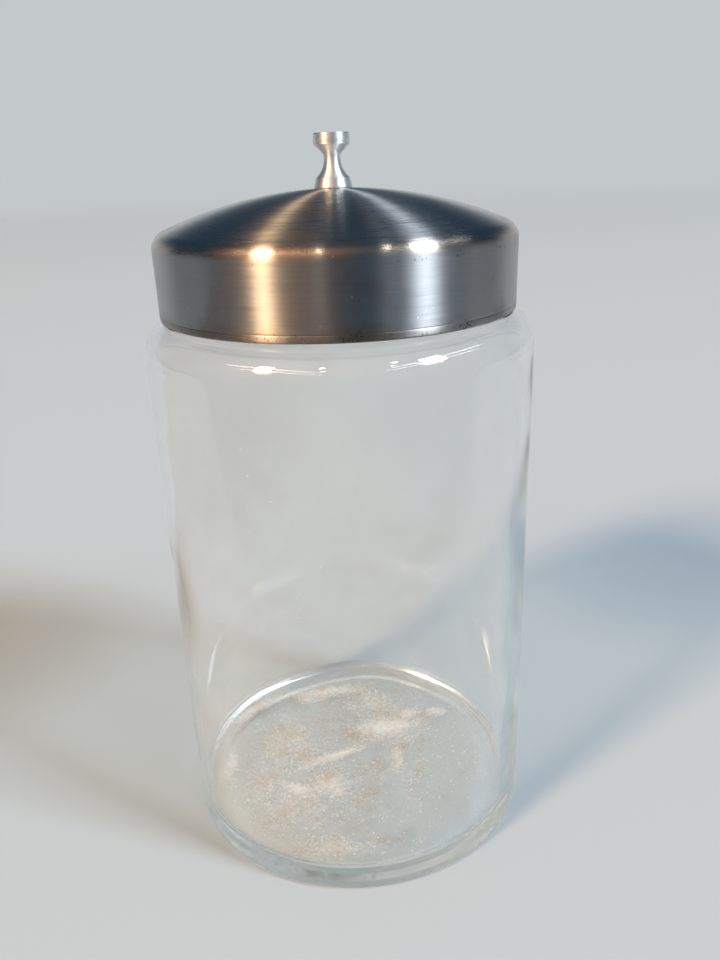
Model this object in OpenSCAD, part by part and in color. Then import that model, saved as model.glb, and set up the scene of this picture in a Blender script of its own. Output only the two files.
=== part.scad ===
// Straight-walled glass canister with a lift-off domed metal lid.
// Millimetres, +Z up. The origin is the centre of the foot ring, on the surface the jar stands on.

/* [Glass body] */
// Outer diameter of the straight glass wall
jar_d = 108; // [80:1:160]
// Height of the glass, from the foot ring to the rim
jar_h = 180; // [120:1:260]
// Thickness of the straight glass wall
jar_wall = 3.4; // [2:0.1:5]
// Height of the inner floor above the foot ring
floor_t = 5.2; // [3:0.1:9]
// Radius inside the jar, between the floor and the wall
floor_corner_r = 3.5; // [1:0.1:8]
// Radius of the heel, where the wall turns under
heel_r = 1.8; // [1:0.1:6]
// Width of the flat ring that the jar stands on
foot_w = 4.6; // [2:0.1:8]
// Height that the underside is pushed up inside the foot ring
push_up = 1.3; // [0.4:0.1:2.5]

/* [Shoulder and neck] */
// Outer radius of the rounded shoulder
shoulder_r = 10; // [8.5:0.1:13]
// Step in from the body's outside to the neck's outside
neck_step = 7.1; // [5:0.1:8.5]
// Height of the straight neck, rim included
neck_h = 20.4; // [12:0.1:40]
// Thickness of the glass at the neck and the rim
neck_wall = 3.5; // [2.5:0.1:4.5]
// Radius of the hollow outside, between the shoulder and the neck
neck_root_r = 1.6; // [1.4:0.1:3]
// Radius of the edge inside, between the shoulder and the mouth
mouth_edge_r = 2.5; // [1:0.1:4]

/* [Lid] */
// Thickness of the lid's sheet
lid_wall = 0.7; // [0.4:0.05:1]
// Radius that the top of the lid is domed to
dome_r = 120; // [80:1:400]
// Outer radius of the corner between the dome and the skirt
lid_corner_r = 4.6; // [3.6:0.1:8]
// Height of the leaf that is folded up inside the skirt
hem_h = 3.2; // [2:0.1:6]
// Height of the crease that the fold leaves in the skirt
crease_up = 2; // [1.2:0.1:5]
// Depth of the crease
crease_deep = 0.12; // [0.05:0.01:0.25]
// Width of the crease
crease_w = 0.5; // [0.2:0.05:1]

/* [Knob] */
// Diameter of the knob's foot
foot_d = 10.1; // [8.5:0.1:16]
// Diameter at the top of the foot
foot_top_d = 9; // [6:0.1:10]
// Height of the foot
foot_h = 2.6; // [1:0.1:4]
// Diameter at the waist
waist_d = 4.4; // [3:0.1:6]
// Height of the waist above the lid
waist_up = 7.45; // [6.5:0.05:12]
// Radius of the sweep from the waist up to the cone under the head
throat_r = 2.2; // [1:0.1:4]
// Diameter of the head
head_d = 9.6; // [8:0.1:16]
// Height of the head's straight side
head_h = 2.65; // [1.5:0.05:6]
// Radius of the knob's turned edges
knob_edge_r = 0.45; // [0.2:0.05:0.7]
// Width of the lid's flat that shows around the foot
seat_margin = 0.55; // [0.2:0.05:3]

/* [Screw and washer] */
// Thread diameter of the screw
screw_d = 3; // [2.5:0.1:3.6]
// Length of the screw under its head
screw_l = 5.4; // [4:0.1:6.6]
// Diameter of the screw's head
screw_head_d = 5.6; // [4.6:0.1:7]
// Height of the screw's head
screw_head_h = 1.8; // [1.4:0.1:3]
// Width of the slot in the head
slot_w = 0.8; // [0.5:0.05:1.2]
// Depth of the slot in the head
slot_deep = 0.9; // [0.4:0.05:1.2]
// Outer diameter of the lock washer
washer_d = 5.5; // [4.8:0.1:7]
// Thickness of the lock washer
washer_t = 0.7; // [0.4:0.05:1.2]
// Width of the split in the lock washer
washer_split = 0.8; // [0.3:0.05:1.5]

/* [Clearances] */
// Gap all round between the hem and the neck
lid_fit = 0.6; // [0.3:0.05:1]
// Gap between the rim and the underside of the lid
rim_gap = 0.3; // [0.15:0.05:0.6]
// Gap between the hem and the shoulder
hem_gap = 0.4; // [0.2:0.05:0.6]
// Gap all round between the screw and the holes that it passes
screw_fit = 0.1; // [0.05:0.05:0.3]
// Gap all round between the screw and its hole in the knob
thread_fit = 0.05; // [0.02:0.01:0.1]
// Depth left beyond the screw's end in the knob
hole_spare = 0.6; // [0.3:0.1:1]

/* [Hidden] */
$fn = 96;
// How far a cut runs past the face that it opens
cut_over = 1;

// Glass body
jar_r = jar_d / 2;
inner_r = jar_r - jar_wall;
foot_out_r = jar_r - heel_r;
foot_in_r = foot_out_r - foot_w;

// Neck and rim. The rim is a full half round.
neck_r = jar_r - neck_step;
mouth_r = neck_r - neck_wall;
rim_r = neck_wall / 2;
rim = [mouth_r + rim_r, jar_h - rim_r];

// The hollow at the neck's root touches the neck and the shoulder's arc
root = [neck_r + neck_root_r, jar_h - neck_h];
shoulder_mid_r = jar_r - shoulder_r;
shoulder = [shoulder_mid_r, root[1] - leg(shoulder_r + neck_root_r, root[0] - shoulder_mid_r)];
root_a = atan2(root[1] - shoulder[1], root[0] - shoulder[0]);

// The mouth's edge touches the mouth and the shoulder's inner arc
edge_mid_r = mouth_r + mouth_edge_r;
shoulder_in_r = shoulder_r - jar_wall;
edge = [edge_mid_r, shoulder[1] + leg(shoulder_in_r + mouth_edge_r, edge_mid_r - shoulder[0])];
edge_a = atan2(edge[1] - shoulder[1], edge[0] - shoulder[0]);

// Lid, sized round the neck
lid_r = neck_r + lid_fit + 2 * lid_wall;
corner_mid_r = lid_r - lid_corner_r;
corner_rise = leg(dome_r - lid_corner_r, corner_mid_r);
// Heights of the corner's centre at which the dome, and the corner, clear the rim
corner_z_by_dome = rim[1] - leg(dome_r - lid_wall - rim_gap - rim_r, rim[0]) + corner_rise;
corner_z_by_corner = rim[1] - leg(lid_corner_r - lid_wall - rim_gap - rim_r, rim[0] - corner_mid_r);
corner = [corner_mid_r, max(corner_z_by_dome, corner_z_by_corner)];
dome_z = corner[1] - corner_rise;
corner_a = atan2(corner_rise, corner_mid_r);

// The hem's round lower edge clears the shoulder's arc and the hollow above it
hem_mid_r = lid_r - lid_wall;
hem_z_by_shoulder = shoulder[1] + leg(shoulder_r + hem_gap + lid_wall, hem_mid_r - shoulder[0]);
hem_z_by_root = root[1] - leg(neck_root_r - hem_gap - lid_wall, root[0] - hem_mid_r);
hem = [hem_mid_r, max(hem_z_by_shoulder, hem_z_by_root)];
lid_bottom = hem[1] - lid_wall;

// Flat seat for the knob, pressed in the middle of the dome
seat_r = foot_d / 2 + seat_margin;
seat_z = dome_z + leg(dome_r, seat_r);
seat_a = atan2(leg(dome_r, seat_r), seat_r);
dome_in_r = dome_r - lid_wall;
seat_in_a = asin((seat_z - lid_wall - dome_z) / dome_in_r);

// Knob. One arc runs from the top of the foot to the waist.
waist_r = waist_d / 2;
head_r = head_d / 2;
sweep_drop = waist_up - foot_h;
sweep_in = foot_top_d / 2 - waist_r;
sweep_r = (sweep_drop * sweep_drop + sweep_in * sweep_in) / (2 * sweep_in);
sweep_a = asin(sweep_drop / sweep_r);
cone_a = 45;
cone_from_r = waist_r + throat_r * (1 - cos(cone_a));
head_z = waist_up + throat_r * sin(cone_a) + (head_r - cone_from_r) / tan(cone_a);

// Screw and washer, hung under the seat
screw_r = screw_d / 2;
hole_r = screw_r + screw_fit;
washer_z = seat_z - lid_wall - washer_t;
screw_top = washer_z + screw_l;

// Length of the other leg of a right triangle, zero where there is none
function leg(long, short) = sqrt(max(0, long * long - short * short));

// Points of an arc about a centre, from one angle to another
function arc(mid, r, from, to, steps = 12) =
    [for (i = [0:steps]) let (a = from + (to - from) * i / steps) mid + r * [cos(a), sin(a)]];

module jar() {
    color([0.80, 0.88, 0.88, 0.4])
    rotate_extrude()
    polygon(concat(
        [[0, push_up], [foot_in_r - 2 * push_up, push_up], [foot_in_r, 0]],
        arc([foot_out_r, heel_r], heel_r, -90, 0),
        arc(shoulder, shoulder_r, 0, root_a, 16),
        arc(root, neck_root_r, root_a + 180, 180, 6),
        arc(rim, rim_r, 0, 180),
        arc(edge, mouth_edge_r, 180, edge_a + 180, 8),
        arc(shoulder, shoulder_in_r, edge_a, 0, 16),
        arc([inner_r - floor_corner_r, floor_t + floor_corner_r], floor_corner_r, 0, -90),
        [[0, floor_t]]
    ));
}

module lid_shell() {
    skirt_in_r = lid_r - lid_wall;
    crease_z = lid_bottom + crease_up;
    color([0.62, 0.62, 0.61])
    rotate_extrude()
    polygon(concat(
        [[hole_r, seat_z]],
        arc([0, dome_z], dome_r, seat_a, corner_a, 24),
        arc(corner, lid_corner_r, corner_a, 0, 12),
        [[lid_r, crease_z + crease_w / 2], [lid_r - crease_deep, crease_z], [lid_r, crease_z - crease_w / 2]],
        arc(hem, lid_wall, 0, -180, 8),
        [[hem[0] - lid_wall, lid_bottom + hem_h], [skirt_in_r, lid_bottom + hem_h]],
        arc(corner, lid_corner_r - lid_wall, 0, corner_a, 12),
        arc([0, dome_z], dome_in_r, corner_a, seat_in_a, 24),
        [[hole_r, seat_z - lid_wall]]
    ));
}

module knob() {
    color([0.86, 0.86, 0.87])
    translate([0, 0, seat_z])
    difference() {
        rotate_extrude()
        polygon(concat(
            [[0, 0]],
            arc([foot_d / 2 - knob_edge_r, knob_edge_r], knob_edge_r, -90, 0, 5),
            arc([waist_r + sweep_r, waist_up], sweep_r, 180 + sweep_a, 180, 16),
            arc([waist_r + throat_r, waist_up], throat_r, 180, 180 - cone_a, 8),
            [[head_r - knob_edge_r / 2, head_z - knob_edge_r / 2], [head_r, head_z]],
            arc([head_r - knob_edge_r, head_z + head_h - knob_edge_r], knob_edge_r, 0, 90, 5),
            [[0, head_z + head_h]]
        ));
        translate([0, 0, -cut_over])
        cylinder(r = screw_r + thread_fit, h = screw_top - seat_z + hole_spare + cut_over);
    }
}

module knob_screw() {
    head_edge_r = screw_head_h / 2;
    color([0.70, 0.70, 0.70])
    translate([0, 0, washer_z])
    difference() {
        rotate_extrude()
        polygon(concat(
            [[0, screw_l], [screw_r, screw_l], [screw_r, 0]],
            [[screw_head_d / 2, 0]],
            arc([screw_head_d / 2 - head_edge_r, head_edge_r - screw_head_h], head_edge_r, 0, -90, 6),
            [[0, -screw_head_h]]
        ));
        translate([-screw_head_d, -slot_w / 2, -screw_head_h - cut_over])
        cube([2 * screw_head_d, slot_w, slot_deep + cut_over]);
    }
}

module lock_washer() {
    color([0.55, 0.55, 0.56])
    translate([0, 0, washer_z])
    difference() {
        cylinder(d = washer_d, h = washer_t);
        translate([0, 0, -cut_over])
        cylinder(r = hole_r, h = washer_t + 2 * cut_over);
        translate([0, -washer_split / 2, -cut_over])
        cube([washer_d, washer_split, washer_t + 2 * cut_over]);
    }
}

jar();
lid_shell();
knob();
knob_screw();
lock_washer();
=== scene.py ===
"""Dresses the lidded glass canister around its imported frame.

The jar is one moulded glass piece, the lid one drawn and brushed steel sheet with a turned knob,
held from inside by a screw and a lock washer. Lengths below are in metres unless a name ends in
_mm; +Z is up and the jar's axis is the Z axis.
"""
import logging
import math
from dataclasses import dataclass, field
from enum import Enum
from typing import Callable, Mapping, Sequence

import bpy
import numpy as np
from mathutils import Matrix, Vector


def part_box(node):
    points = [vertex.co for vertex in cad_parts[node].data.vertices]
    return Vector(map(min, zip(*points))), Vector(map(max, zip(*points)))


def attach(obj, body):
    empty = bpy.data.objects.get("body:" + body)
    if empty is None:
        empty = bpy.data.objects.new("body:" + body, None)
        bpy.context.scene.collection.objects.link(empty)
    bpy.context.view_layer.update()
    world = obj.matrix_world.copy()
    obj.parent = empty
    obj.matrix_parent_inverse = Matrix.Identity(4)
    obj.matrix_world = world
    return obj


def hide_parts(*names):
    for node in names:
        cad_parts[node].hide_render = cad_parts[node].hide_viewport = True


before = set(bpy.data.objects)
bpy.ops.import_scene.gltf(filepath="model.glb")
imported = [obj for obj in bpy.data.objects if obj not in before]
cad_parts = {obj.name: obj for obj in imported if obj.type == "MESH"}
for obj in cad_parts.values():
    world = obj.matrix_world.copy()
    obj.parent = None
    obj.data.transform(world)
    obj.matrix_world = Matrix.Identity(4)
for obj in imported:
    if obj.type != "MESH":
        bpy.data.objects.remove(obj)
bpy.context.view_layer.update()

MM = 0.001
SEGMENTS = 288
# What ripple() stays below, for waves of size 1
RIPPLE_TOP = 2.3
LOG = logging.getLogger("canister")

Material = bpy.types.Material
Node = bpy.types.Node
Socket = bpy.types.NodeSocket
Piece = bpy.types.Object
Tree = bpy.types.ShaderNodeTree
# From points, with x, y and z in three columns, to a share
Cover = Callable[[np.ndarray], np.ndarray]


# Colours and nodes

def linear(colour: str) -> tuple[float, float, float, float]:
    """Turns an sRGB hex colour into linear red, green, blue and an alpha of 1.

    Args:
        colour: six hex digits after a hash, such as "#8A8F91".

    Returns:
        The linear colour that a shader socket takes.
    """
    share = np.array([int(colour[i:i + 2], 16) for i in (1, 3, 5)]) / 255.0
    low, high = share / 12.92, ((share + 0.055) / 1.055) ** 2.4
    red, green, blue = np.where(share <= 0.04045, low, high)
    return float(red), float(green), float(blue), 1.0


def add(tree: Tree, kind: str, settings: Mapping | None = None, links: Mapping | None = None) -> Node:
    """Adds a node with its settings and links.

    Args:
        tree: the node tree that gets it.
        kind: the node's type, without its ShaderNode prefix.
        settings: values by the name of a property or input, or by an input's number.
        links: what feeds each input, by the input's name or number. It is an output socket, or a
            node, whose first output is meant.

    Returns:
        The new node.
    """
    node = tree.nodes.new("ShaderNode" + kind)
    for key, value in (settings or {}).items():
        if isinstance(key, str) and hasattr(node, key):
            setattr(node, key, value)
        else:
            node.inputs[key].default_value = value
    for key, source in (links or {}).items():
        tree.links.new(source.outputs[0] if isinstance(source, Node) else source, node.inputs[key])
    return node


def blank_material(name: str) -> tuple[Material, Tree]:
    """Makes an empty node material.

    Args:
        name: the real material's name.

    Returns:
        The material and its node tree.
    """
    material = bpy.data.materials.new(name)
    material.use_nodes = True
    material.node_tree.nodes.clear()
    return material, material.node_tree


# Settings that recur: what a Math node does, a MapRange node's smooth ramp, and the span that most
# of a noise's values lie in
SUM, PRODUCT, LARGER, UNSIGNED = (
    {"operation": word} for word in ("ADD", "MULTIPLY", "MAXIMUM", "ABSOLUTE"))
SMOOTH = {"interpolation_type": "SMOOTHSTEP"}
NOISE_SPAN = {"From Min": 0.3, "From Max": 0.7}


# Outlines and turned surfaces

def arc(mid: Sequence[float], radius: float, start: float, end: float, steps: int) -> np.ndarray:
    """Points on a circle: the middle plus the radius times the cosine and sine of each angle.

    Args:
        mid: the circle's middle, as distance from the axis and height.
        radius: its radius.
        start: the first angle in degrees, from the outward direction.
        end: the last angle in degrees.
        steps: how many equal steps lie between them.

    Returns:
        An array of steps + 1 points.
    """
    angle = np.radians(np.linspace(start, end, steps + 1))
    return np.column_stack([mid[0] + radius * np.cos(angle), mid[1] + radius * np.sin(angle)])


def tangent_rise(reach: float, across: float) -> float:
    """Height of one circle's middle over another's, reach away and across sideways, by Pythagoras."""
    return math.sqrt(reach * reach - across * across)


def fill_in(outline: np.ndarray, longest: float) -> np.ndarray:
    """Adds points to an outline's long straight runs, by dividing each run into equal lengths.

    Next to a run's two ends an extra point is set, so that the shading of a rounded corner
    doesn't spread over the flat beside it.

    Args:
        outline: points as distance from the axis and height.
        longest: the longest run that is left.

    Returns:
        The same outline with more points, and with none repeated.
    """
    apart = np.hypot(*np.diff(outline, axis=0).T) > 1e-7
    outline = outline[np.concatenate([[True], apart])]
    runs = []
    for first, last in zip(outline[:-1], outline[1:]):
        length = float(np.hypot(*(last - first)))
        if length <= longest:
            runs.append(first[None, :])
            continue
        shares = np.linspace(0.0, 1.0, math.ceil(length / longest) + 1)
        guard = 0.12 * longest / length
        shares = np.concatenate([[0.0, guard], shares[1:-1], [1.0 - guard]])
        runs.append(first + shares[:, None] * (last - first))
    return np.vstack(runs + [outline[-1:]])


def put(name: str, data: bpy.types.ID) -> Piece:
    """Puts a new object into the scene.

    Args:
        name: its name.
        data: the mesh, lamp or camera that it holds.

    Returns:
        The object.
    """
    item = bpy.data.objects.new(name, data)
    bpy.context.scene.collection.objects.link(item)
    return item


def mesh_object(name: str, points: np.ndarray, faces: Sequence[np.ndarray],
                smooth: bool = True) -> Piece:
    """Puts arrays of points and faces into a mesh object at the origin.

    Args:
        name: the piece's name.
        points: one row of x, y and z for each vertex.
        faces: arrays of faces, each array with its own number of corners.
        smooth: whether the faces are shaded smooth.

    Returns:
        The linked object.
    """
    mesh = bpy.data.meshes.new(name)
    mesh.from_pydata(points.tolist(), [], [face for block in faces for face in block.tolist()])
    mesh.polygons.foreach_set("use_smooth", np.full(len(mesh.polygons), smooth))
    mesh.update()
    return put(name, mesh)


def rings(outline: np.ndarray, segments: int = SEGMENTS) -> tuple[np.ndarray, np.ndarray, np.ndarray]:
    """Spreads an outline round the Z axis in equal steps.

    Args:
        outline: points as distance from the axis and height.
        segments: how many steps go round.

    Returns:
        Each point's turn round the axis, its distance from it and its height, in arrays with a row
        for each point of the outline.
    """
    turn, row = np.meshgrid(np.arange(segments) * 2 * np.pi / segments, np.arange(len(outline)))
    return turn, outline[row, 0], outline[row, 1]


def lathe(name: str, outline: np.ndarray, offset: np.ndarray | float = 0.0,
          lift: np.ndarray | float = 0.0, closed: bool = False, segments: int = SEGMENTS) -> Piece:
    """Carries an outline round the Z axis.

    A point at distance r and height z becomes a ring of (r cos a, r sin a, z), where a runs round
    the axis. Faces join each ring to the next. An outline that starts or ends on the axis closes
    there in one point. The UV map holds the turn from 0 to 1 and the length along the outline in
    metres, so that a finish can follow the surface.

    Args:
        name: the piece's name.
        outline: points as distance from the axis and height, with the material on the left.
        offset: moves each point away from the axis, in an array like those of rings().
        lift: moves each point up, in the same way.
        closed: whether the last ring joins the first.
        segments: faces round the axis.

    Returns:
        The linked object.
    """
    length = np.concatenate([[0.0], np.cumsum(np.hypot(*np.diff(outline, axis=0).T))])
    on_axis = outline[:, 0] < 1e-9
    turn, radius, height = rings(outline, segments)
    radius = np.where(radius > 0, radius + offset, 0.0)
    grid = np.stack([radius * np.cos(turn), radius * np.sin(turn), height + lift], axis=-1)
    counts = np.where(on_axis, 1, segments)
    starts = np.concatenate([[0], np.cumsum(counts)[:-1]])
    points = np.vstack([grid[i, :counts[i]] for i in range(len(outline))])

    bands = [(i, i + 1) for i in range(len(outline) - 1)] + ([(len(outline) - 1, 0)] if closed else [])
    bands = [(low, high) for low, high in bands if not (on_axis[low] and on_axis[high])]
    here = np.arange(segments)
    after = (here + 1) % segments
    whole = length[-1] + np.hypot(*(outline[0] - outline[-1]))
    blocks, turns, lengths = [], [], []
    for low, high in bands:
        near, far = length[low], length[high] if high else whole
        # Each corner of the faces: its outline row, its place in the ring, its turn and its length
        corners = [(low, here, here, near), (low, after, here + 1, near),
                   (high, after, here + 1, far), (high, here, here, far)]
        if on_axis[low]:
            corners = [(low, 0 * here, here + 0.5, near)] + corners[2:]
        elif on_axis[high]:
            corners = corners[:2] + [(high, 0 * here, here + 0.5, far)]
        blocks.append(np.column_stack([starts[ring] + place for ring, place, _, _ in corners]))
        turns.append(np.column_stack([corner[2] for corner in corners]))
        lengths.append(np.tile([corner[3] for corner in corners], (segments, 1)))
    item = mesh_object(name, points, blocks)
    uv = item.data.uv_layers.new(name="along")
    flat_turns = np.concatenate([t.ravel() for t in turns]) / segments
    flat_lengths = np.concatenate([v.ravel() for v in lengths])
    uv.data.foreach_set("uv", np.column_stack([flat_turns, flat_lengths]).ravel().astype(np.float32))
    return item


def ripple(turn: np.ndarray, height: np.ndarray, size: float, seed: int) -> np.ndarray:
    """A slow unevenness that closes round the axis: a sum of waves, each the cosine of a whole
    number of turns plus the height over a wavelength, at a random phase.

    Args:
        turn: angle round the axis.
        height: height of each point.
        size: about how high the waves stand.
        seed: picks the phases.

    Returns:
        The offset at each point.
    """
    random = np.random.default_rng(seed)
    total = np.zeros_like(turn)
    for waves, wavelength_mm in ((2, 95), (3, 61), (5, 43), (7, 33), (9, 71)):
        round_phase, up_phase = random.uniform(0, 2 * np.pi, 2)
        rise = 2 * np.pi * height / (wavelength_mm * MM)
        total += np.cos(waves * turn + round_phase) * np.cos(rise + up_phase)
    return total * size / math.sqrt(5)


def mostly_small(random: np.random.Generator, sizes: tuple[float, float], count: int) -> np.ndarray:
    """Random sizes, most of them near the smaller bound: a uniform share, cubed, of the way up."""
    smallest, largest = sizes
    return smallest + (largest - smallest) * random.uniform(0, 1, count) ** 3


def flakes(name: str, middles: np.ndarray, facing: np.ndarray, sizes: np.ndarray, seed: int,
           browning: float = 1.0) -> Piece:
    """Lays small closed crumbs flat on a surface, all in one mesh.

    Each crumb is a six-sided lens: a ring of six points, each at a random share of the crumb's
    radius, with one point above its middle and one below. A point attribute "tone" holds one random
    share for each crumb.

    Args:
        name: the piece's name.
        middles: where each crumb lies.
        facing: the unit direction that each crumb's flat side faces.
        sizes: each crumb's radius.
        seed: picks the shapes.
        browning: the highest share in "tone".

    Returns:
        The linked object.
    """
    random = np.random.default_rng(seed)
    count = len(middles)
    side = np.cross(facing, np.where(np.abs(facing[:, 2:]) > 0.9, [[1.0, 0.0, 0.0]], [[0.0, 0.0, 1.0]]))
    side /= np.linalg.norm(side, axis=1, keepdims=True)
    other = np.cross(facing, side)
    angle = np.arange(6) * np.pi / 3 + random.uniform(0, np.pi, (count, 1))
    reach = sizes[:, None] * random.uniform(0.55, 1.0, (count, 6))
    ring = (middles[:, None] + (reach * np.cos(angle))[..., None] * side[:, None]
            + (reach * np.sin(angle))[..., None] * other[:, None])
    thick = (sizes * random.uniform(0.18, 0.4, count))[:, None] * facing
    points = np.concatenate([ring, (middles + thick)[:, None], (middles - thick * 0.3)[:, None]], axis=1)
    near, far = np.arange(6), (np.arange(6) + 1) % 6
    lens = np.vstack([np.column_stack([near, far, np.full(6, 6)]),
                      np.column_stack([far, near, np.full(6, 7)])])
    faces = (np.arange(count)[:, None, None] * 8 + lens).reshape(-1, 3)
    item = mesh_object(name, points.reshape(-1, 3), [faces], smooth=False)
    tone = item.data.attributes.new("tone", "FLOAT", "POINT")
    tone.data.foreach_set("value", np.repeat(random.uniform(0, browning, count), 8).astype(np.float32))
    return item


# Finishes

@dataclass(frozen=True)
class ClearGlass:
    """Soda-lime glass, moulded and fire-polished: clear, with a faint grey-green in its depth.

    It has stood on many shelves, so its foot and the curve of its heel are scuffed and milky.
    """

    colour: str = "#FFFFFF"
    scuffed_roughness: float = 0.2
    scuffed_up: float = 3.2 * MM
    face_on_colour: str = "#FAFCFC"
    edge_on_colour: str = "#3C4446"
    depth_colour: str = "#9DBDB0"
    depth_density: float = 3.0
    ior: float = 1.52

    def material(self) -> Material:
        """Builds it. Lamps and soft light pass straight through, less what each face reflects.

        Returns:
            The material.
        """
        material, tree = blank_material("soda_lime_glass")
        up = add(tree, "SeparateXYZ", None, {0: add(tree, "TexCoord").outputs["Object"]}).outputs[2]
        scuffed = add(tree, "MapRange", {
            **SMOOTH, "From Min": self.scuffed_up, "From Max": 0.0, "To Min": 0.0,
            "To Max": self.scuffed_roughness}, {0: up})
        glass = add(tree, "BsdfPrincipled", {
            "Base Color": linear(self.colour), "IOR": self.ior, "Transmission Weight": 1.0},
            {"Roughness": scuffed})
        path = add(tree, "LightPath")
        slant = add(tree, "LayerWeight", {"Blend": 0.5})
        lost = add(tree, "Math", {"operation": "POWER", 1: 4.0}, {0: slant.outputs["Facing"]})
        passed = add(tree, "Mix", {
            "data_type": "RGBA", 6: linear(self.face_on_colour), 7: linear(self.edge_on_colour)}, {0: lost})
        clear = add(tree, "BsdfTransparent", None, {"Color": passed.outputs[2]})
        passing = add(tree, "Math", LARGER,
                      {0: path.outputs["Is Shadow Ray"], 1: path.outputs["Is Diffuse Ray"]})
        surface = add(tree, "MixShader", None, {0: passing, 1: glass, 2: clear})
        depth = add(tree, "VolumeAbsorption", {
            "Color": linear(self.depth_colour), "Density": self.depth_density})
        add(tree, "OutputMaterial", None, {"Surface": surface, "Volume": depth})
        return material


@dataclass(frozen=True)
class WaterMarks:
    """What dried in the jar: a chalky film, thick in the patches where the last water stood."""

    pale: str = "#E4E6E6"
    brown: str = "#C9BBAA"
    # Clumps of lime, because its single grains are too fine to show
    grain_mm: float = 1.1
    cloud_mm: float = 7.0
    thickest: float = 0.85

    def material(self) -> Material:
        """Builds it. The film's point attribute "cover" says how much of the glass it hides.

        Returns:
            The material.
        """
        material, tree = blank_material("dried_lime_film")
        place = add(tree, "TexCoord").outputs["Object"]
        cover = add(tree, "Attribute", {"attribute_name": "cover"}).outputs["Fac"]
        grain = add(tree, "TexNoise", {"Scale": 1 / (self.grain_mm * MM), "Detail": 3.0, "Roughness": 0.65},
                    {"Vector": place})
        cloud = add(tree, "TexNoise", {"Scale": 1 / (self.cloud_mm * MM), "Detail": 4.0, "Roughness": 0.6},
                    {"Vector": place})
        # Where the cover is thick, more of the noise rises above its threshold and turns opaque
        mixed = add(tree, "Mix", {"data_type": "FLOAT", 0: 0.45}, {2: grain, 3: cloud})
        thick = add(tree, "MapRange", {"From Min": 0.28, "From Max": 1.0}, {0: cover})
        root = add(tree, "Math", {"operation": "SQRT"}, {0: thick})
        wet = add(tree, "Math", {"operation": "MULTIPLY_ADD", 1: 0.46, 2: -0.73}, {0: root})
        above = add(tree, "Math", SUM, {0: mixed, 1: wet})
        patch = add(tree, "MapRange", {"From Min": 0.0, "From Max": 0.32}, {0: above})
        haze = add(tree, "Math", {"operation": "MULTIPLY_ADD", 1: 0.4}, {0: cover, 2: patch})
        alpha = add(tree, "Math", {"operation": "MULTIPLY", 1: self.thickest, "use_clamp": True}, {0: haze})
        dirty = add(tree, "MapRange", {"From Min": 0.5, "From Max": 0.68}, {0: cloud})
        colour = add(tree, "Mix", {"data_type": "RGBA", 6: linear(self.pale), 7: linear(self.brown)},
                     {0: dirty})
        film = add(tree, "BsdfPrincipled", {"Roughness": 0.85, "Specular IOR Level": 0.2}, {
            "Base Color": colour.outputs[2], "Alpha": alpha})
        add(tree, "OutputMaterial", None, {"Surface": film})
        return material


@dataclass(frozen=True)
class Crumbs:
    """Loose crumbs of the same chalk and of dry food, matt and off-white to tan."""

    pale: str = "#E9E7E2"
    brown: str = "#B8AB9C"

    def material(self) -> Material:
        """Builds it. The crumbs' point attribute "tone" picks the colour.

        Returns:
            The material.
        """
        material, tree = blank_material("dry_crumbs")
        tone = add(tree, "Attribute", {"attribute_name": "tone"}).outputs["Fac"]
        share = add(tree, "MapRange", {"From Min": 0.55, "From Max": 1.0}, {0: tone})
        colour = add(tree, "Mix", {"data_type": "RGBA", 6: linear(self.pale), 7: linear(self.brown)},
                     {0: share})
        crumb = add(tree, "BsdfPrincipled", {"Roughness": 0.9, "Specular IOR Level": 0.2},
                    {"Base Color": colour.outputs[2]})
        add(tree, "OutputMaterial", None, {"Surface": crumb})
        return material


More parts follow.
